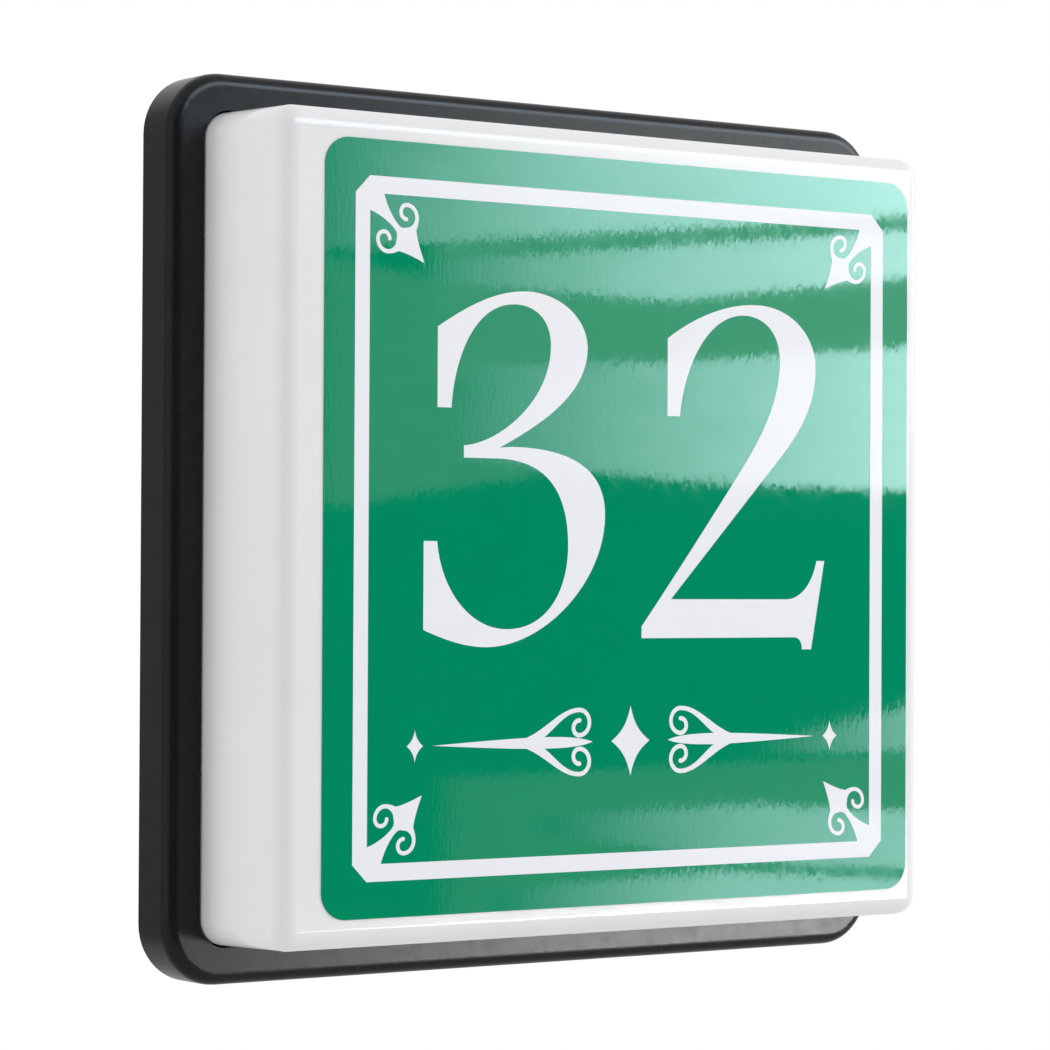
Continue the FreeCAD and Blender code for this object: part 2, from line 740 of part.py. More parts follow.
def make_led_board():
    board = node("PartDesign::Body", "led_board")
    outline = front_sketch(board, "board_outline", "dims.tray_front")
    rounded_rectangle(outline, "dims.board_side", "dims.board_side", "dims.board_corner")
    pad(board, outline, "dims.board_thick")
    holes = front_sketch(board, "board_holes", "dims.tray_front")
    for across, up in board_hole_places():
        disc(holes, "dims.board_hole_radius", across, up)
    pocket(board, holes, "dims.board_thick", forward=True)

    leds = node("PartDesign::Body", "leds")
    column = front_sketch(leds, "led_column", "dims.tray_front + dims.board_thick")
    first = "-(dims.led_count - 1) / 2 * dims.led_pitch"
    for i in range(int(value("dims.led_count"))):
        up = f"{first} + {i} * dims.led_pitch"
        rectangle(column, "dims.led_wide", "dims.led_high", first, up)
    row_of(leds, pad(leds, column, "dims.led_thick"), "dims.led_pitch", "dims.led_count")

    connector = node("PartDesign::Body", "led_connector")
    outline = front_sketch(connector, "connector_outline", "dims.tray_front + dims.board_thick")
    rectangle(
        outline, "dims.connector_long", "dims.connector_high",
        "-dims.connector_across", "dims.wire_hole_up",
    )
    pad(connector, outline, "dims.connector_thick")
    left = "-dims.connector_across - dims.connector_long / 2"
    holes = side_sketch(connector, "connector_holes", left)
    radius = "dims.led_wire_radius + dims.connector_hole_clearance"
    for sign in SIGNS:
        up = f"dims.wire_hole_up + ({sign}) * dims.led_wire_apart / 2"
        disc(holes, radius, "-dims.connector_wire_depth", up)
    pocket(connector, holes, "dims.connector_long / 2", forward=True)


# ---------------------------------------------------------------- driver
def make_driver():
    case = node("PartDesign::Body", "driver_case")
    long, high = "dims.driver_long", "dims.driver_high"
    across, up = "-dims.driver_across", "dims.driver_up"
    wall, corner = "dims.driver_wall", "dims.driver_corner"
    outline = front_sketch(case, "case_outline", "dims.driver_rear")
    rounded_rectangle(outline, long, high, corner, across, up)
    pad(case, outline, "dims.driver_lid_rear - dims.driver_rear")
    ears = front_sketch(case, "case_ears", "dims.driver_rear")
    for ear_across, ear_up in driver_ear_places():
        rectangle(ears, "dims.ear_wide", "dims.ear_reach + dims.ear_overlap", ear_across, ear_up)
    pad(case, ears, "dims.ear_thick")
    inside = front_sketch(case, "case_inside", "dims.driver_lid_rear")
    rounded_rectangle(
        inside, f"{long} - 2 * {wall}", f"{high} - 2 * {wall}", f"{corner} - {wall}", across, up
    )
    pocket(case, inside, f"dims.driver_lid_rear - dims.driver_rear - {wall}")
    ear_holes = front_sketch(case, "case_ear_holes", "dims.driver_rear")
    for ear_across, ear_up in driver_ear_places():
        disc(ear_holes, "dims.board_hole_radius", ear_across, ear_up)
    pocket(case, ear_holes, "dims.ear_thick", forward=True)
    standoffs = front_sketch(case, "case_standoffs", f"dims.driver_rear + {wall}")
    for x, z in corners_of("dims.standoff_across", "dims.standoff_up"):
        disc(standoffs, "dims.standoff_radius", f"{across} + {x}", f"{up} + {z}")
    pad(case, standoffs, f"dims.driver_board_rear - dims.driver_rear - {wall}")
    mains = side_sketch(case, "case_mains_holes", f"{across} + {long} / 2 - 2 * {wall}")
    output = side_sketch(case, "case_output_holes", f"{across} - {long} / 2")
    for sign in SIGNS:
        for holes, wire in ((mains, "dims.mains_wire"), (output, "dims.led_wire")):
            radius = f"{wire}_radius + dims.driver_wire_clearance"
            disc(holes, radius, "-dims.wire_depth", f"{up} + ({sign}) * {wire}_apart / 2")
    pocket(case, mains, f"2 * {wall}", forward=True)
    pocket(case, output, f"2 * {wall}", forward=True)

    lid = node("PartDesign::Body", "driver_lid")
    outline = front_sketch(lid, "lid_outline", "dims.driver_lid_rear")
    rounded_rectangle(outline, long, high, corner, across, up)
    plate = pad(lid, outline, "dims.driver_front - dims.driver_lid_rear")
    fillet(lid, plate, "dims.driver_lid_edge", "dims.driver_front")

    board = node("PartDesign::Body", "driver_board")
    outline = front_sketch(board, "driver_board_outline", "dims.driver_board_rear")
    rectangle(outline, "dims.driver_board_long", "dims.driver_board_high", across, up)
    pad(board, outline, "dims.board_thick")

    make_driver_components()


def make_driver_components():
    seat = "dims.driver_board_rear + dims.board_thick"
    across, up = "-dims.driver_across", "dims.driver_up"

    transformer = node("PartDesign::Body", "driver_transformer")
    core = front_sketch(transformer, "transformer_core", seat)
    rectangle(core, "dims.core_wide", "dims.core_high", across, up)
    pad(transformer, core, f"dims.core_front - ({seat})")
    coil = front_sketch(transformer, "transformer_coil", f"{seat} + dims.coil_recess")
    rounded_rectangle(coil, "dims.coil_wide", "dims.coil_high", "dims.coil_corner", across, up)
    pad(transformer, coil, f"dims.core_front - ({seat}) - 2 * dims.coil_recess")

    cans = node("PartDesign::Body", "driver_capacitors")
    for name in ("input_can", "output_can"):
        side = side_sketch(cans, name, f"{across} + dims.{name}_across")
        disc(side, "dims.can_radius", f"-({seat} + dims.can_radius)", f"{up} + dims.{name}_up")
        pad(cans, side, "dims.can_long")


# ---------------------------------------------------------------- terminal block
TERMINAL_SEAT = "(dims.terminal_front - dims.terminal_well_deep)"


def pole_places():
    count = int(value("dims.pole_count"))
    return [
        f"dims.terminal_up + ({i} - (dims.pole_count - 1) / 2) * dims.pole_pitch"
        for i in range(count)
    ]


def terminal_screw_places():
    """Two screws hold the block down, each between two poles."""
    return [
        ("dims.terminal_across", f"dims.terminal_up + ({sign}) * dims.pole_pitch / 2")
        for sign in SIGNS
    ]


def clamp_screw_places():
    return [
        (f"dims.terminal_across + ({sign}) * dims.clamp_screw_apart / 2", up)
        for up in pole_places()
        for sign in SIGNS
    ]


def make_terminal_block():
    across, up = "dims.terminal_across", "dims.terminal_up"
    block = node("PartDesign::Body", "terminal_block")
    outline = front_sketch(block, "block_outline", "dims.terminal_rear")
    rounded_rectangle(
        outline, "dims.terminal_wide", "dims.terminal_long", "dims.terminal_corner", across, up
    )
    pad(block, outline, "dims.terminal_front - dims.terminal_rear")
    wells = front_sketch(block, "block_wells", "dims.terminal_front")
    for x, z in clamp_screw_places():
        disc(wells, "dims.clamp_well_radius", x, z)
    pocket(block, wells, "dims.terminal_front - dims.wire_depth")
    seats = front_sketch(block, "block_screw_wells", "dims.terminal_front")
    bores = front_sketch(block, "block_screw_holes", "dims.terminal_rear")
    for x, z in terminal_screw_places():
        disc(seats, "dims.terminal_well_radius", x, z)
        disc(bores, "dims.terminal_hole_radius", x, z)
    pocket(block, seats, "dims.terminal_well_deep")
    pocket(block, bores, "dims.terminal_front - dims.terminal_rear", forward=True)
    left = f"{across} - dims.terminal_wide / 2"
    tunnels = side_sketch(block, "block_tunnels", left)
    for z in pole_places():
        disc(tunnels, "dims.clamp_radius", "-dims.wire_depth", z)
    pocket(block, tunnels, "dims.terminal_wide", forward=True)

    clamps = node("PartDesign::Body", "terminal_clamps")
    sleeves = side_sketch(clamps, "clamp_sleeves", f"{across} - dims.clamp_long / 2")
    for z in pole_places():
        disc(sleeves, "dims.clamp_radius", "-dims.wire_depth", z)
        disc(sleeves, "dims.clamp_bore", "-dims.wire_depth", z)
    pad(clamps, sleeves, "dims.clamp_long")
    taps = front_sketch(clamps, "clamp_taps", "dims.terminal_front")
    for x, z in clamp_screw_places():
        disc(taps, "dims.clamp_screw_radius + dims.thread_clearance", x, z)
    pocket(clamps, taps, "dims.terminal_front - dims.wire_depth")

    screws = node("PartDesign::Body", "terminal_screws")
    shafts = front_sketch(screws, "clamp_screw_shafts", "dims.clamp_screw_rear")
    heads = front_sketch(screws, "clamp_screw_heads", "dims.clamp_screw_neck")
    slots = front_sketch(screws, "clamp_screw_slots", "dims.clamp_screw_front")
    slot_long = "2 * dims.clamp_screw_head_radius + dims.screw_slot_overrun"
    for x, z in clamp_screw_places():
        disc(shafts, "dims.clamp_screw_radius", x, z)
        disc(heads, "dims.clamp_screw_head_radius", x, z)
        rectangle(slots, slot_long, "dims.screw_slot_wide", x, z)
    pad(screws, shafts, "dims.clamp_screw_neck - dims.clamp_screw_rear")
    pad(screws, heads, "dims.clamp_screw_front - dims.clamp_screw_neck")
    pocket(screws, slots, "dims.screw_slot_deep")


# ---------------------------------------------------------------- wiring and earth
def make_wire(label, radius, points, bend):
    """A wire: straight runs joined by tangent arcs of one radius."""
    wire = node("Part::Feature", label)
    points = [Vector(x, -depth, z) for x, depth, z in points]
    edges = []
    start = points[0]
    for before, corner, after in zip(points, points[1:], points[2:]):
        inward = (corner - before).normalize()
        outward = (after - corner).normalize()
        half_turn = inward.getAngle(outward) / 2
        reach = bend * math.tan(half_turn)
        centre = corner + (outward - inward).normalize() * (bend / math.cos(half_turn))
        middle = centre + (corner - centre).normalize() * bend
        arc_start, arc_end = corner - inward * reach, corner + outward * reach
        edges.append(Part.makeLine(start, arc_start))
        edges.append(Part.Arc(arc_start, middle, arc_end).toShape())
        start = arc_end
    edges.append(Part.makeLine(start, points[-1]))
    path = Part.Wire(edges)
    circle = Part.makeCircle(radius, points[0], points[1] - points[0])
    wire.Shape = path.makePipeShell([Part.Wire(circle)], True, False)
    expected = math.pi * radius**2 * path.Length
    print(f"{label}: length {path.Length:.1f}, bend {bend}, volume ratio "
          f"{wire.Shape.Volume / expected:.4f}")


def make_wiring():
    depth = value("dims.wire_depth")
    live_up, neutral_up, earth_up = reversed([value(up) for up in pole_places()])
    block_end = value("dims.terminal_across - dims.clamp_screw_apart / 4")
    block_side = value("dims.terminal_across - dims.terminal_wide / 2")
    case_right = value("-dims.driver_across + dims.driver_long / 2")
    case_left = value("-dims.driver_across - dims.driver_long / 2")
    mains_radius, mains_bend = value("dims.mains_wire_radius"), value("dims.mains_wire_bend")
    for label, sign, pole in (("live_wire", 1, live_up), ("neutral_wire", -1, neutral_up)):
        port = value("dims.driver_up") + sign * value("dims.mains_wire_apart") / 2
        route = [
            (block_end, depth, pole),
            (block_side - value("dims.mains_wire_block_run"), depth, pole),
            (case_right + value("dims.mains_wire_case_run"), depth, port),
            (case_right - value("dims.mains_wire_tail"), depth, port),
        ]
        make_wire(label, mains_radius, route, mains_bend)

    earth_x, earth_z = value("dims.earth_across"), value("dims.earth_up")
    barrel_depth = value(
        "dims.tray_front - dims.tray_thick - dims.tag_thick / 2 - dims.earth_wire_behind"
    )
    barrel_end = earth_z + value("dims.tag_radius + dims.tag_barrel_long")
    route = [
        (block_end, depth, earth_up),
        (earth_x, depth, earth_up),
        (earth_x, depth, earth_up - value("dims.earth_wire_drop")),
        (earth_x, barrel_depth, barrel_end + value("dims.earth_wire_run")),
        (earth_x, barrel_depth, barrel_end - value("dims.earth_wire_grip")),
    ]
    make_wire("earth_wire", mains_radius, route, value("dims.earth_wire_bend"))

    apart = value("dims.led_wire_apart") / 2
    hole_x, hole_z = -value("dims.wire_hole_across"), value("dims.wire_hole_up")
    tail = value("dims.led_wire_tail")
    connector_x = value("-dims.connector_across - dims.connector_long / 2") + tail
    board_depth = value("dims.connector_wire_depth")
    for label, sign in (("led_wire_red", 1), ("led_wire_black", -1)):
        x = hole_x - sign * apart
        port = value("dims.driver_up") + sign * apart
        z = hole_z - sign * apart
        route = [
            (case_left + tail, depth, port),
            (x, depth, port),
            (x, depth, z),
            (x, board_depth, z),
            (connector_x, board_depth, z),
        ]
        make_wire(label, value("dims.led_wire_radius"), route, value("dims.led_wire_bend"))


def make_earth():
    across, up = "dims.earth_across", "dims.earth_up"
    rear = "dims.tray_front - dims.tray_thick"

    tag = node("PartDesign::Body", "earth_tag")
    ring = front_sketch(tag, "tag_ring", f"{rear} - dims.tag_thick")
    disc(ring, "dims.tag_radius", across, up)
    pad(tag, ring, "dims.tag_thick")
    neck = front_sketch(tag, "tag_neck", f"{rear} - dims.tag_thick")
    reach = "dims.tag_radius + dims.tag_barrel_long / 2"
    rectangle(neck, "2 * dims.tag_barrel_radius", reach, across, f"{up} + ({reach}) / 2")
    pad(tag, neck, "dims.tag_thick")
    hole = front_sketch(tag, "tag_hole", f"{rear} - dims.tag_thick")
    disc(hole, "dims.stud_radius + dims.tag_clearance", across, up)
    pocket(tag, hole, "dims.tag_thick", forward=True)

    nut = node("Part::Feature", "earth_nut")
    flats = value("dims.nut_across_flats")
    centre = Vector(value(across), -value(f"{rear} - dims.tag_thick"), value(up))
    corners = []
    for i in range(7):
        turn = math.radians(60 * i)
        reach = flats / math.sqrt(3)
        corners.append(centre + Vector(reach * math.cos(turn), 0, reach * math.sin(turn)))
    block = Part.Face(Part.makePolygon(corners)).extrude(-FRONT * value("dims.nut_thick"))
    bore_radius = value("dims.stud_radius + dims.thread_clearance")
    bore = Part.makeCylinder(bore_radius, value("dims.nut_thick"), centre, -FRONT)
    nut.Shape = block.cut(bore)


# ---------------------------------------------------------------- build, check and write
make_housing()
make_seals()
make_grommet()
make_cover()
make_film()
make_springs()
make_tray()
make_led_board()
make_driver()
make_terminal_block()
make_all_screws()
make_wiring()
make_earth()
doc.recompute()

for made in doc.Objects:
    if "Invalid" in made.State or "Error" in made.State:
        raise RuntimeError(f"{made.Label} failed: {made.State}")
for made in nodes:
    if made.Shape.isNull() or not made.Shape.isValid():
        raise RuntimeError(f"{made.Label} has no sound shape")
    print(f"{made.Label}: {len(made.Shape.Solids)} solids, {made.Shape.Volume / 1000:.2f} cm3")

os.makedirs("parts", exist_ok=True)
for made in nodes:
    made.Shape.exportStep(f"parts/{made.Label}.step")
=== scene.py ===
from math import ceil, cos, pi, radians, sin, tan

import bpy
from mathutils import Matrix, Vector


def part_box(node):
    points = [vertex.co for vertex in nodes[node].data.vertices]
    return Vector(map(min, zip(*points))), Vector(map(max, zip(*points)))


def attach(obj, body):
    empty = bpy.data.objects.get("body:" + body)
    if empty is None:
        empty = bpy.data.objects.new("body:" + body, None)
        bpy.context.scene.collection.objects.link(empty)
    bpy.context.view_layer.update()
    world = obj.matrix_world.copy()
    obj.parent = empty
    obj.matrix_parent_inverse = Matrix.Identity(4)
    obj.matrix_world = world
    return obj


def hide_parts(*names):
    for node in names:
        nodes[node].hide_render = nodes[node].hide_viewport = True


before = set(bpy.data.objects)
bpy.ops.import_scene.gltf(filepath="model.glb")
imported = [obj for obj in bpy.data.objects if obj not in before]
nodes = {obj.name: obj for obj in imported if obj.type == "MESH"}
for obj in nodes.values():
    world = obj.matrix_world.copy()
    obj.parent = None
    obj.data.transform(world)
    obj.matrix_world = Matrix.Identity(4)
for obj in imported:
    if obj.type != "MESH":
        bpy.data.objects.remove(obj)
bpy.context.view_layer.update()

MM = 0.001
COVER = "cover"


# ---------------------------------------------------------------- shader helpers
NOISE_LOW = 0.35
NOISE_HIGH = 0.65


class Paint:
    """One Principled material, with procedural detail in the object's own millimetres."""

    def __init__(self, name, colour, roughness, metallic=0.0, specular=0.5):
        self.material = bpy.data.materials.new(name)
        self.material.use_nodes = True
        self.tree = self.material.node_tree
        self.shader = self.tree.nodes["Principled BSDF"]
        self.colour = colour
        self.roughness = roughness
        self.set("Base Color", (*colour, 1))
        self.set("Roughness", roughness)
        self.set("Metallic", metallic)
        self.set("Specular IOR Level", specular)
        self.place = self.tree.nodes.new("ShaderNodeTexCoord").outputs["Object"]
        self.normal = None

    def set(self, socket, value):
        self.shader.inputs[socket].default_value = value
        return self

    def add(self, kind, **settings):
        node = self.tree.nodes.new(kind)
        for name, value in settings.items():
            setattr(node, name, value)
        return node

    def link(self, output, socket):
        self.tree.links.new(output, socket)

    def stretched(self, stretch):
        """The place, scaled along X, Y and Z, and turned into millimetres."""
        node = self.add("ShaderNodeMapping")
        node.inputs["Scale"].default_value = [s / MM for s in stretch]
        self.link(self.place, node.inputs["Vector"])
        return node.outputs["Vector"]

    def noise(self, size, detail=2.0, stretch=(1, 1, 1)):
        """Noise whose spots are about size millimetres across."""
        node = self.add("ShaderNodeTexNoise")
        node.inputs["Scale"].default_value = 1 / size
        node.inputs["Detail"].default_value = detail
        self.link(self.stretched(stretch), node.inputs["Vector"])
        return node.outputs["Fac"]

    def ramp(self, value, low, high):
        """value, over the middle of a noise's range, becomes low to high."""
        node = self.add("ShaderNodeMapRange")
        for name, number in (("From Min", NOISE_LOW), ("From Max", NOISE_HIGH),
                             ("To Min", low), ("To Max", high)):
            node.inputs[name].default_value = number
        self.link(value, node.inputs["Value"])
        return node.outputs["Result"]

    def mottle(self, size, amount, tint=(1, 1, 1)):
        """Patches of the colour that are darker by amount, each channel by its share in tint."""
        mix = self.add("ShaderNodeMix", data_type="RGBA")
        darker = [c * (1 - amount * t) for c, t in zip(self.colour, tint)]
        self.link(self.ramp(self.noise(size, detail=3.0), 0, 1), mix.inputs["Factor"])
        mix.inputs["A"].default_value = (*self.colour, 1)
        mix.inputs["B"].default_value = (*darker, 1)
        self.link(mix.outputs["Result"], self.shader.inputs["Base Color"])
        return self

    def uneven_gloss(self, size, spread, stretch=(1, 1, 1)):
        """Roughness that wanders by spread to either side."""
        low, high = self.roughness - spread, self.roughness + spread
        wander = self.noise(size, stretch=stretch)
        self.link(self.ramp(wander, low, high), self.shader.inputs["Roughness"])
        return self

    def grain(self, size, depth, stretch=(1, 1, 1), detail=2.0):
        """Bumps about size millimetres across and depth millimetres deep. Grains add up."""
        height = self.noise(size, detail, stretch)
        node = self.add("ShaderNodeBump")
        node.inputs["Distance"].default_value = depth * MM
        self.link(height, node.inputs["Height"])
        if self.normal:
            self.link(self.normal, node.inputs["Normal"])
        self.normal = node.outputs["Normal"]
        self.link(self.normal, self.shader.inputs["Normal"])
        return self


# ---------------------------------------------------------------- materials
def housing_plastic():
    paint = Paint("housing plastic", (0.0105, 0.0107, 0.0112), 0.27, specular=0.15)
    paint.mottle(9, 0.12).uneven_gloss(5, 0.02)
    return paint.grain(0.35, 0.005).grain(6, 0.006).material


def opal_plastic():
    paint = Paint("opal plastic", (0.83, 0.835, 0.845), 0.09, specular=0.2)
    paint.mottle(30, 0.02).uneven_gloss(12, 0.02)
    return paint.grain(4, 0.002).material


FILM_SHEEN = (0.72, 0.93, 1)
FILM_GRAIN = {"size": 0.9, "depth": 0.0075, "stretch": (1, 1, 0.25), "detail": 3}


def gloss_film(name, colour):
    """Printed film: a gloss overlay with a cool sheen and faint upright streaks from its laminating."""
    paint = Paint(name, colour, 0.03).set("Specular Tint", (*FILM_SHEEN, 1))
    paint.mottle(14, 0.02).uneven_gloss(4, 0.01)
    return paint.grain(**FILM_GRAIN).grain(30, 0.006, stretch=(1, 1, 0.6), detail=1).material


def white_print():
    """White ink on the film, less glossy than the film itself."""
    paint = Paint("white print", (0.875, 0.89, 0.935), 0.05, specular=0.1)
    return paint.mottle(9, 0.015).uneven_gloss(3, 0.01).grain(**FILM_GRAIN).material


def foam():
    return Paint("foam", (0.10, 0.10, 0.11), 0.9).mottle(1, 0.5).grain(0.5, 0.15, detail=4).material


def rubber():
    paint = Paint("rubber", (0.022, 0.022, 0.023), 0.55)
    return paint.mottle(3, 0.2).uneven_gloss(3, 0.08).grain(0.3, 0.01).material


def powder_coat():
    paint = Paint("powder coat", (0.80, 0.80, 0.79), 0.42)
    return paint.mottle(20, 0.03).uneven_gloss(4, 0.05).grain(0.7, 0.02, detail=1).material


def spring_steel():
    """Strip with the fine lines of its rolling along X."""
    rolled = (0.05, 1, 1)
    paint = Paint("spring steel", (0.56, 0.56, 0.57), 0.28, metallic=1.0)
    return paint.mottle(2, 0.15).uneven_gloss(0.5, 0.08, rolled).grain(0.12, 0.004, rolled).material


def zinc():
    paint = Paint("zinc", (0.62, 0.63, 0.66), 0.3, metallic=1.0)
    return paint.mottle(1.5, 0.2, tint=(1, 0.8, 0.5)).uneven_gloss(0.8, 0.1).grain(0.2, 0.004).material


def brass():
    paint = Paint("brass", (0.72, 0.53, 0.24), 0.3, metallic=1.0)
    return paint.mottle(1.5, 0.25).uneven_gloss(0.8, 0.08).grain(0.2, 0.004).material


def solder_mask(name, colour):
    paint = Paint(name, colour, 0.3)
    return paint.mottle(6, 0.06).uneven_gloss(3, 0.05).grain(0.6, 0.006).material


def moulding(name, colour, roughness=0.42):
    """Plain moulded plastic of the inner parts."""
    paint = Paint(name, colour, roughness)
    return paint.mottle(5, 0.07).uneven_gloss(3, 0.06).grain(0.4, 0.006).material


def sheath(name, colour):
    """PVC of a wire's insulation."""
    paint = Paint(name, colour, 0.38)
    return paint.mottle(2, 0.12).uneven_gloss(2, 0.06).grain(0.3, 0.004).material


def winding_tape():
    paint = Paint("winding tape", (0.70, 0.47, 0.05), 0.3)
    return paint.mottle(2, 0.18).uneven_gloss(1, 0.06).grain(0.7, 0.02, stretch=(0.1, 1, 1)).material


def sleeve():
    paint = Paint("capacitor sleeve", (0.02, 0.02, 0.025), 0.25)
    return paint.mottle(2, 0.2).uneven_gloss(1, 0.05).grain(0.5, 0.006).material


def dress_nodes():
    """Each node that shows as it is gets its finish."""
    zinc_finish = zinc()
    foam_finish = foam()
    white_moulding = moulding("driver plastic", (0.74, 0.74, 0.73))
    finishes = {
        "back_housing": housing_plastic(),
        "diffuser_cover": opal_plastic(),
        "wall_gasket": foam_finish,
        "cover_gasket": foam_finish,
        "cable_grommet": rubber(),
        "retaining_springs": spring_steel(),
        "reflector_tray": powder_coat(),
        "led_board": solder_mask("white solder mask", (0.84, 0.845, 0.84)),
        "leds": moulding("LED housing", (0.82, 0.82, 0.78), 0.35),
        "led_connector": moulding("connector nylon", (0.78, 0.77, 0.72)),
        "driver_case": white_moulding,
        "driver_lid": white_moulding,
        "driver_board": solder_mask("green solder mask", (0.01, 0.12, 0.04)),
        "driver_transformer": winding_tape(),
        "driver_capacitors": sleeve(),
        "terminal_block": moulding("terminal nylon", (0.76, 0.76, 0.72)),
        "terminal_clamps": brass(),
        "live_wire": sheath("brown sheath", (0.13, 0.045, 0.018)),
        "neutral_wire": sheath("blue sheath", (0.015, 0.07, 0.36)),
        "earth_wire": sheath("yellow sheath", (0.55, 0.52, 0.02)),
        "led_wire_red": sheath("red sheath", (0.5, 0.015, 0.012)),
        "led_wire_black": sheath("black sheath", (0.015, 0.015, 0.016)),
    }
    for name in ("tray_screws", "led_board_screws", "driver_screws", "terminal_screws",
                 "terminal_block_screws", "earth_tag", "earth_nut"):
        finishes[name] = zinc_finish
    for name, finish in finishes.items():
        nodes[name].data.materials.clear()
        nodes[name].data.materials.append(finish)


# ---------------------------------------------------------------- flat shapes
SAME_PLACE = 1e-6
CURVE_STEPS = 24


def arc(centre, radius, start, end):
    """The cubic steps along a circle from one angle to another, in degrees, anticlockwise if end > start."""
    count = max(1, ceil(abs(end - start) / 90 - SAME_PLACE))
    step = radians(end - start) / count
    pull = 4 / 3 * tan(step / 4) * radius
    steps = []
    for i in range(count):
        a = radians(start) + i * step
        b = a + step
        from_point = (centre[0] + radius * cos(a), centre[1] + radius * sin(a))
        to_point = (centre[0] + radius * cos(b), centre[1] + radius * sin(b))
        steps.append((from_point[0] - pull * sin(a), from_point[1] + pull * cos(a),
                      to_point[0] + pull * sin(b), to_point[1] - pull * cos(b), *to_point))
    return steps


def moved(steps, change):
    """The same steps with change(x, z) applied to every point in them."""
    return [tuple(n for i in range(0, len(s), 2) for n in change(s[i], s[i + 1])) for s in steps]


def backwards(steps):
    """The same outline from its end to its start. The first step is a plain point."""
    points = [s[-2:] for s in steps]
    result = [points[-1]]
    for i in range(len(steps) - 1, 0, -1):
        handles = steps[i][:-2]
        result.append((*handles[2:], *handles[:2], *points[i - 1]))
    return result


def rounded_rectangle(half_wide, half_high, radius):
    a, b = half_wide - radius, half_high - radius
    corners = [(a, -b, -90), (a, b, 0), (-a, b, 90), (-a, -b, 180)]
    steps = []
    for x, z, start in corners:
        steps.append((x + radius * cos(radians(start)), z + radius * sin(radians(start))))
        steps += arc((x, z), radius, start, start + 90)
    return steps


def plate(name, outlines, front, thickness, finish):
    """A flat piece that lies across the light's front, its front face at depth front (mm).

    Each outline is a list of steps in mm: (x, z) is a straight line to that point and
    (x1, z1, x2, z2, x, z) a cubic curve to it. An outline inside another one is a hole.
    """
    curve = bpy.data.curves.new(name, "CURVE")
    curve.dimensions = "2D"
    curve.fill_mode = "BOTH"
    curve.resolution_u = CURVE_STEPS
    curve.extrude = thickness * MM / 2
    for steps in outlines:
        gap = max(abs(steps[0][-2] - steps[-1][-2]), abs(steps[0][-1] - steps[-1][-1]))
        closes = gap < SAME_PLACE
        count = len(steps) - 1 if closes else len(steps)
        spline = curve.splines.new("BEZIER")
        spline.bezier_points.add(count - 1)
        spline.use_cyclic_u = True
        for i, point in enumerate(spline.bezier_points):
            point.co = (steps[i][-2] * MM, steps[i][-1] * MM, 0)
            point.handle_left = point.handle_right = point.co
        for i, point in enumerate(spline.bezier_points):
            into = steps[-1] if i == 0 and closes else steps[i]
            if len(into) == 6:
                before = spline.bezier_points[i - 1]
                before.handle_right = (into[0] * MM, into[1] * MM, 0)
                point.handle_left = (into[2] * MM, into[3] * MM, 0)
    shape = bpy.data.objects.new(name + "_curve", curve)
    mesh = bpy.data.meshes.new_from_object(shape)
    upright = Matrix.Rotation(pi / 2, 4, "X")
    mesh.transform(Matrix.Translation((0, -(front - thickness / 2) * MM, 0)) @ upright)
    bpy.data.objects.remove(shape)
    piece = bpy.data.objects.new(name, mesh)
    bpy.context.scene.collection.objects.link(piece)
    mesh.materials.append(finish)
    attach(piece, COVER)
    return piece


# ---------------------------------------------------------------- the number film
FILM_LOW, FILM_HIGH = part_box("number_film")
FILM_ACROSS = (FILM_LOW.x + FILM_HIGH.x) / 2 / MM
FILM_HALF_WIDE = (FILM_HIGH.x - FILM_LOW.x) / 2 / MM
FILM_HALF_HIGH = FILM_HIGH.z / MM
FILM_CORNER = 7.3
PRINT_SQUEEZE = FILM_HALF_WIDE / FILM_HALF_HIGH
FILM_BACK = -FILM_HIGH.y / MM
FRONT = -FILM_LOW.y / MM
INK = 0.05
INK_SUNK = 0.05
SCROLLS_BELOW = 0.01

THREE = [
    (-64.9, 53.0),
    (-55.0, 59.0, -45.5, 63.5, -35.4, 63.5),
    (-25.2, 63.5, -15.3, 57.6, -15.3, 49.1),
    (-15.3, 36.5, -31.8, 27.9, -44.5, 21.8),
    (-40.4, 22.1),
    (-20.0, 22.1, -9.1, 16.5, -9.1, 4.4),
    (-9.1, -13.5, -29.5, -30.9, -48.6, -30.9),
    (-56.0, -30.9, -63.0, -28.6, -69.1, -26.3),
    (-69.1, -3.1),
    (-64.8, -3.1),
    (-63.5, -16.0, -54.0, -26.2, -41.9, -26.2),
    (-29.0, -26.2, -21.6, -16.5, -21.6, -4.0),
    (-21.6, 11.5, -30.0, 18.9, -45.4, 18.9),
    (-56.3, 18.9),
    (-56.3, 22.1),
    (-44.0, 23.2, -27.7, 35.0, -27.7, 49.3),
    (-27.7, 56.0, -32.5, 59.9, -39.4, 59.9),
    (-53.0, 59.9, -59.5, 45.0, -60.4, 31.9),
    (-64.9, 31.9),
]
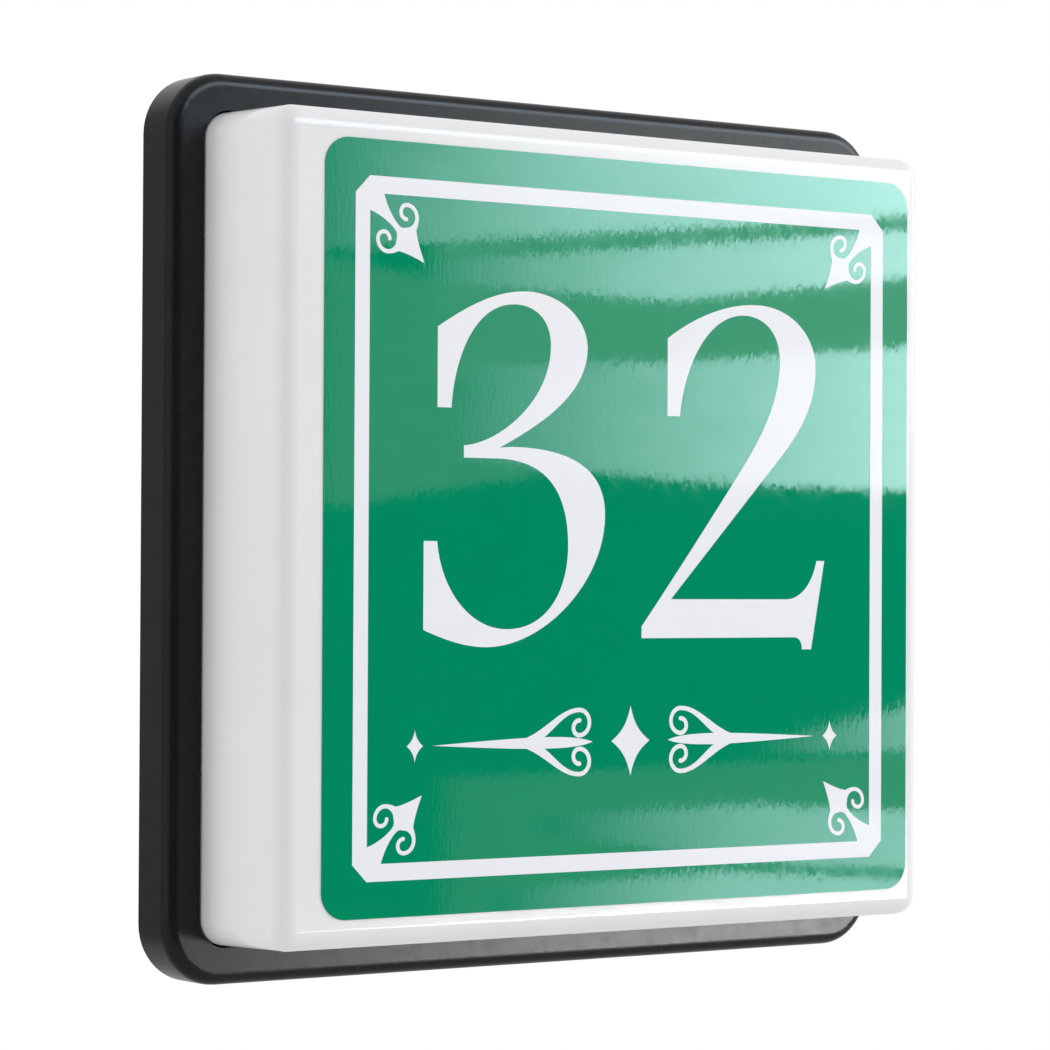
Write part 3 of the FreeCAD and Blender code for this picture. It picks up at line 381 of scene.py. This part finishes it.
TWO = [
    (12.4, 53.0),
    (22.0, 59.3, 33.5, 63.5, 44.3, 63.5),
    (56.5, 63.5, 65.9, 56.2, 65.9, 46.5),
    (65.9, 36.5, 60.5, 28.8, 52.9, 21.2),
    (13.9, -18.2),
    (55.4, -18.2),
    (60.5, -18.2, 65.0, -14.0, 66.5, -7.4),
    (69.4, -7.4),
    (64.6, -32.2),
    (61.2, -32.2),
    (61.2, -30.2, 60.4, -28.8, 58.0, -28.8),
    (3.7, -28.8),
    (3.7, -25.6),
    (15.0, -12.2, 29.0, 5.0, 40.0, 19.1),
    (47.3, 28.6, 52.7, 38.0, 52.7, 48.4),
    (52.7, 56.0, 47.0, 60.4, 39.8, 60.4),
    (27.0, 60.4, 18.2, 46.0, 16.8, 31.8),
    (12.4, 31.8),
]

BORDER_OUTER = 91.15
BORDER_INNER = 86.6
BORDER_CHAMFER = 4.5
DIVIDER_UP = -56.5
SIDES = (-1, 1)


def corner_ornament():
    """The outline of a corner's leaf and two scrolls, from the left inner edge to the top one.

    It is drawn as half an ornament, in mm right of and below the border's inner corner, and
    mirrored about the diagonal. Each scroll is a band along two arcs, the second one smaller.
    """
    band = 0.54
    wide, wide_centre = 3.2, (11.6, -5.67)
    small, small_centre = 1.87, (11.6, -4.33)
    half = [
        (17.3, -17.3),
        (16.2, -14.6, 14.9, -11.5, 14.6, -8.9),
        (14.75, -8.6, 15.0, -8.2, 15.1, -7.6),
        (15.3, -6.9, 15.37, -6.3, 15.37, -5.67),
        *arc(wide_centre, wide + band, 0, 90),
        *arc(small_centre, small + band, 90, 270),
        (12.1, -6.7, 12.1, -5.68, 11.6, -5.68),
        *arc(small_centre, small - band, 270, 90),
        *arc(wide_centre, wide - band, 90, -90),
        (10.6, -8.6, 9.8, -8.5, 9.25, -8.05),
        (7.6, -6.6, 5.6, -3.8, 4.4, 0),
    ]
    other_half = backwards(moved(half, lambda a, b: (-b, -a)))
    whole = other_half + half[1:]
    return moved(whole, lambda a, b: (a - BORDER_INNER, b + BORDER_INNER))


def border():
    """The border line, with an ornament grown from each inner corner."""
    outer, cut = BORDER_OUTER, BORDER_OUTER - BORDER_CHAMFER
    outside = [(-cut, outer), (cut, outer), (outer, cut), (outer, -cut),
               (cut, -outer), (-cut, -outer), (-outer, -cut), (-outer, cut)]
    window, corner = [], corner_ornament()
    for _ in range(4):
        window += corner
        corner = moved(corner, lambda x, z: (z, -x))
    return [outside, window]


def divider():
    """A plain flourish under the number: a lozenge between two leaf bars with pointed tips. Its scrolls come
    from divider_scrolls.
    """
    lozenge = [(0, 9.5), (1.2, 4.5, 3.2, 2.2, 6.6, 0), (3.2, -2.2, 1.2, -4.5, 0, -9.5),
               (-1.2, -4.5, -3.2, -2.2, -6.6, 0), (-3.2, 2.2, -1.2, 4.5, 0, 9.5)]
    leaf = [(13.0, 0), (20.0, 2.6, 40.0, 1.4, 66.0, 0), (40.0, -1.4, 20.0, -2.6, 13.0, 0)]
    tip = [(69.0, 0), (70.6, 1.2, 71.2, 2.2, 71.6, 4.2), (72.0, 2.2, 72.6, 1.2, 74.2, 0),
           (72.6, -1.2, 72.0, -2.2, 71.6, -4.2), (71.2, -2.2, 70.6, -1.2, 69.0, 0)]
    shapes = [moved(lozenge, lambda x, z: (x, z + DIVIDER_UP))]
    for side in SIDES:
        for shape in (leaf, tip):
            shapes.append(moved(shape, lambda x, z: (side * x, z + DIVIDER_UP)))
    return shapes


def divider_scrolls():
    """Four scrolls that grow from the leaf bars towards the lozenge."""
    band = 0.6
    wide, wide_centre = 3.4, (17.5, 5.2)
    small = 2.0
    small_centre = (wide_centre[0], wide_centre[1] - wide + small)
    scroll = [
        (40.0, 0.4),
        (30.0, 1.4, 25.0, wide_centre[1] + wide + band, wide_centre[0], wide_centre[1] + wide + band),
        *arc(wide_centre, wide + band, 90, 270),
        *arc(small_centre, small + band, 270, 450),
        (small_centre[0] - 0.9, small_centre[1] + small + band,
         small_centre[0] - 0.9, small_centre[1] + small - band,
         small_centre[0], small_centre[1] + small - band),
        *arc(small_centre, small - band, 90, -90),
        *arc(wide_centre, wide - band, 270, 90),
        (24.0, wide_centre[1] + wide - band, 27.0, 0.9, 34.0, -0.4),
    ]
    return [moved(scroll, lambda x, z: (side * x, rise * z + DIVIDER_UP))
            for side in SIDES for rise in SIDES]


def on_film(outlines):
    """The outlines, drawn about the middle of a square film, on the real one."""
    return [moved(steps, lambda x, z: (x * PRINT_SQUEEZE + FILM_ACROSS, z)) for steps in outlines]


def make_film():
    """The green film with its print laid into it. The scrolls lie a little below the leaf bars."""
    green = gloss_film("green film", (0.0006, 0.277, 0.132))
    white = white_print()
    outline = rounded_rectangle(FILM_HALF_WIDE, FILM_HALF_HIGH, FILM_CORNER)
    backing = FRONT - INK
    film = plate("green_film", [moved(outline, lambda x, z: (x + FILM_ACROSS, z))], backing,
                 backing - FILM_BACK, green)
    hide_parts("number_film")
    for name, outlines in (("digit_three", [THREE]), ("digit_two", [TWO]),
                           ("border_line", border()), ("divider_print", divider())):
        plate(name, on_film(outlines), FRONT, INK + INK_SUNK, white)
    plate("divider_scrolls", on_film(divider_scrolls()), FRONT - SCROLLS_BELOW, INK + INK_SUNK, white)


# ---------------------------------------------------------------- camera, floor and light
CAMERA_PLACE = (-0.6072, -0.8602, -0.0132)
CAMERA_YAW, CAMERA_PITCH, CAMERA_ROLL = -35.403, 0.845, -0.278
CAMERA_LENS = 128.26
FLOOR_BELOW = 0.45
FLOOR_REACH = 1.6
AMBIENT = 0.8
LAMP_AIM = (0, -0.03, 0)
LAMPS = {
    "left": {"place": (-1.9, 1.5, 0.6), "size": 1.4, "power": 11},
    "right": {"place": (1.36, -0.7, 0.56), "size": 1, "power": 10.5},
}


def make_camera():
    camera = bpy.data.objects.new("camera", bpy.data.cameras.new("camera"))
    camera.data.lens = CAMERA_LENS
    camera.data.clip_start = 0.01
    turn = (Matrix.Rotation(radians(CAMERA_YAW), 4, "Z")
            @ Matrix.Rotation(radians(90 + CAMERA_PITCH), 4, "X")
            @ Matrix.Rotation(radians(-CAMERA_ROLL), 4, "Z"))
    camera.matrix_world = Matrix.Translation(CAMERA_PLACE) @ turn
    bpy.context.scene.collection.objects.link(camera)
    bpy.context.scene.camera = camera


def white_rays(tree):
    """1 for a ray from the camera, or one that a gloss or glass sends on."""
    path = tree.nodes.new("ShaderNodeLightPath")
    total = None
    for name in ("Is Camera Ray", "Is Glossy Ray", "Is Transmission Ray"):
        if total is None:
            total = path.outputs[name]
            continue
        largest = tree.nodes.new("ShaderNodeMath")
        largest.operation = "MAXIMUM"
        tree.links.new(total, largest.inputs[0])
        tree.links.new(path.outputs[name], largest.inputs[1])
        total = largest.outputs[0]
    return total


def make_world():
    """White to the camera and in reflections, and an even light of strength AMBIENT on the object."""
    world = bpy.data.worlds.new("studio")
    bpy.context.scene.world = world
    world.use_nodes = True
    tree = world.node_tree
    background = tree.nodes["Background"]
    background.inputs["Color"].default_value = (1, 1, 1, 1)
    level = tree.nodes.new("ShaderNodeMapRange")
    level.inputs["To Min"].default_value = AMBIENT
    level.inputs["To Max"].default_value = 1.0
    tree.links.new(white_rays(tree), level.inputs["Value"])
    tree.links.new(level.outputs["Result"], background.inputs["Strength"])


def make_floor():
    mesh = bpy.data.meshes.new("floor")
    reach, low = FLOOR_REACH, -FLOOR_BELOW
    mesh.from_pydata([(-reach, -reach, low), (reach, -reach, low), (reach, reach, low),
                      (-reach, reach, low)], [], [(0, 1, 2, 3)])
    floor = bpy.data.objects.new("floor", mesh)
    bpy.context.scene.collection.objects.link(floor)
    paint = Paint("pale floor", (0.8, 0.8, 0.8), 0.6, specular=0)
    mesh.materials.append(paint.mottle(80, 0.03).material)


def make_lamp(name, place, size, power):
    """An area lamp that faces the light."""
    lamp = bpy.data.objects.new(name, bpy.data.lights.new(name, "AREA"))
    lamp.data.size = size
    lamp.data.energy = power
    lamp.location = place
    direction = Vector(LAMP_AIM) - Vector(place)
    lamp.rotation_mode = "QUATERNION"
    lamp.rotation_quaternion = direction.to_track_quat("-Z", "Y")
    bpy.context.scene.collection.objects.link(lamp)


# ---------------------------------------------------------------- what the gloss reflects
CARD_DISTANCE = 1.0
CARD_APART = 0.002
GLOSS_SHARE = 0.045 * FILM_SHEEN[0]
CARD_UNEVEN = 0.25
STREAK_SIZE = 1.3
STREAK_STRETCH = 0.16
STREAK_LOW = 0.3
STREAK_HIGH = 0.7
SIDE_FLAG_NEAR = (-0.35, 0.9)
SIDE_FLAG_FAR = (-1.3, 0.5)
SIDE_FLAG_HALF_HIGH = 0.8
SIDE_FLAG_LEVEL = 0.35

# What stands in front of the light, from the farthest card to the nearest: each card's tint, and its
# stations from left to right. A station is a place across the film, the card's lower and upper edge
# up the film, in mm from the middle, as CAMERA_PLACE sees their reflections, and its brightness in
# the film's gloss, in percent. The shapes follow the photo's reflections roughly, in round numbers.
NEUTRAL = (1, 1, 1)
SKY_BLUE = (1, 1.2, 1.4)
ROOM = (1, 1.1, 0.8)
DAYLIGHT = (1, 1.1, 1.1)
CARDS = {
    "flag": (NEUTRAL, [(-1200, -450, 450, 0), (400, -450, 450, 0)]),
    "sky": (SKY_BLUE, [(-400, 200, 440, 25), (400, 200, 440, 35)]),
    "ceiling": (DAYLIGHT, [(-80, 106, 200, 5), (200, 106, 200, 50)]),
    "floor_glow": (NEUTRAL, [(-120, -200, -108, 0), (60, -200, -108, 200), (200, -200, -108, 200)]),
    "room": (ROOM, [(-100, 5, 70, 3), (-30, 15, 60, 3)]),
    "wall": (ROOM, [(-65, 40, 75, 4), (140, 40, 100, 6)]),
    "low_wall": (ROOM, [(-60, -103, -65, 2), (140, -103, -62, 3)]),
    "upper_pane": (DAYLIGHT, [(-110, 70, 105, 0), (-15, 80, 105, 25), (140, 96, 107, 50)]),
    "middle_pane": (DAYLIGHT, [(-65, 65, 70, 4), (10, 63, 78, 25), (140, 79, 92, 45)]),
    "lower_pane": (DAYLIGHT, [(-55, 18, 43, 4), (20, 14, 47, 20), (140, 12, 58, 45)]),
    "low_wedge": (DAYLIGHT, [(45, -61, -58, 0), (140, -62, -42, 25)]),
    "low_pane": (DAYLIGHT, [(-30, -80, -76, 0), (40, -91, -75, 15), (140, -98, -81, 25)]),
    "foot_pane": (DAYLIGHT, [(-45, -103, -95, 0), (30, -103, -93, 20), (140, -105, -101, 25)]),
}


def glow_material():
    """Gives off the glow kept at each of a card's points, a little uneven in upright streaks."""
    material = bpy.data.materials.new("card glow")
    material.use_nodes = True
    tree = material.node_tree
    tree.nodes.clear()
    place = tree.nodes.new("ShaderNodeTexCoord")
    stretch = tree.nodes.new("ShaderNodeMapping")
    stretch.inputs["Scale"].default_value = (1 / MM, 1 / MM, STREAK_STRETCH / MM)
    noise = tree.nodes.new("ShaderNodeTexNoise")
    noise.inputs["Scale"].default_value = 1 / STREAK_SIZE
    noise.inputs["Detail"].default_value = 3
    unevenness = tree.nodes.new("ShaderNodeMapRange")
    unevenness.inputs["From Min"].default_value = STREAK_LOW
    unevenness.inputs["From Max"].default_value = STREAK_HIGH
    unevenness.inputs["To Min"].default_value = 1 - CARD_UNEVEN
    unevenness.inputs["To Max"].default_value = 1 + CARD_UNEVEN
    glow = tree.nodes.new("ShaderNodeAttribute")
    glow.attribute_name = "glow"
    emission = tree.nodes.new("ShaderNodeEmission")
    output = tree.nodes.new("ShaderNodeOutputMaterial")
    for source, target in (
            (place.outputs["Object"], stretch.inputs["Vector"]),
            (stretch.outputs["Vector"], noise.inputs["Vector"]),
            (noise.outputs["Fac"], unevenness.inputs["Value"]),
            (unevenness.outputs["Result"], emission.inputs["Strength"]),
            (glow.outputs["Color"], emission.inputs["Color"]),
            (emission.outputs["Emission"], output.inputs["Surface"])):
        tree.links.new(source, target)
    return material


def stage_card(name, points, glows, faces, material):
    """A mesh beside the object that only the gloss of other things shows."""
    mesh = bpy.data.meshes.new(name)
    mesh.from_pydata(points, [], faces)
    flat = [channel for glow in glows for channel in (*glow, 1)]
    mesh.attributes.new("glow", "FLOAT_COLOR", "POINT").data.foreach_set("color", flat)
    mesh.materials.append(material)
    card = bpy.data.objects.new(name, mesh)
    bpy.context.scene.collection.objects.link(card)
    card.visible_camera = card.visible_diffuse = card.visible_shadow = False
    card.visible_transmission = False
    return card


def make_card(name, tint, stations, order, material):
    """A card in front of the light. A higher order stands nearer to it."""
    points, glows = [], []
    for across, low, high, percent in stations:
        for up in (low, high):
            points.append(((across + FILM_ACROSS) * MM, 0, up * MM))
            glows.append([percent / 100 / GLOSS_SHARE * t for t in tint])
    faces = [(i, i + 2, i + 3, i + 1) for i in range(0, len(points) - 2, 2)]
    card = stage_card(name, points, glows, faces, material)
    distance = CARD_DISTANCE - order * CARD_APART
    scale = 1 + distance / (abs(CAMERA_PLACE[1]) - FRONT * MM)
    card.scale = [scale] * 3
    card.location = (CAMERA_PLACE[0] * (1 - scale), -FRONT * MM - distance, CAMERA_PLACE[2] * (1 - scale))


def make_cards():
    """The cards in front of the film, and a grey flag that the light's left side reflects."""
    material = glow_material()
    for order, (name, (tint, stations)) in enumerate(CARDS.items()):
        make_card(name, tint, stations, order, material)
    near, far, half_high = SIDE_FLAG_NEAR, SIDE_FLAG_FAR, SIDE_FLAG_HALF_HIGH
    stage_card("side_flag", [(*near, -half_high), (*far, -half_high), (*far, half_high), (*near, half_high)],
               [(SIDE_FLAG_LEVEL,) * 3] * 4, [(0, 1, 2, 3)], material)


dress_nodes()
make_film()
make_camera()
make_world()
make_floor()
make_cards()
for lamp_name, lamp_settings in LAMPS.items():
    make_lamp(lamp_name, **lamp_settings)

bpy.context.scene.view_settings.view_transform = "Standard"
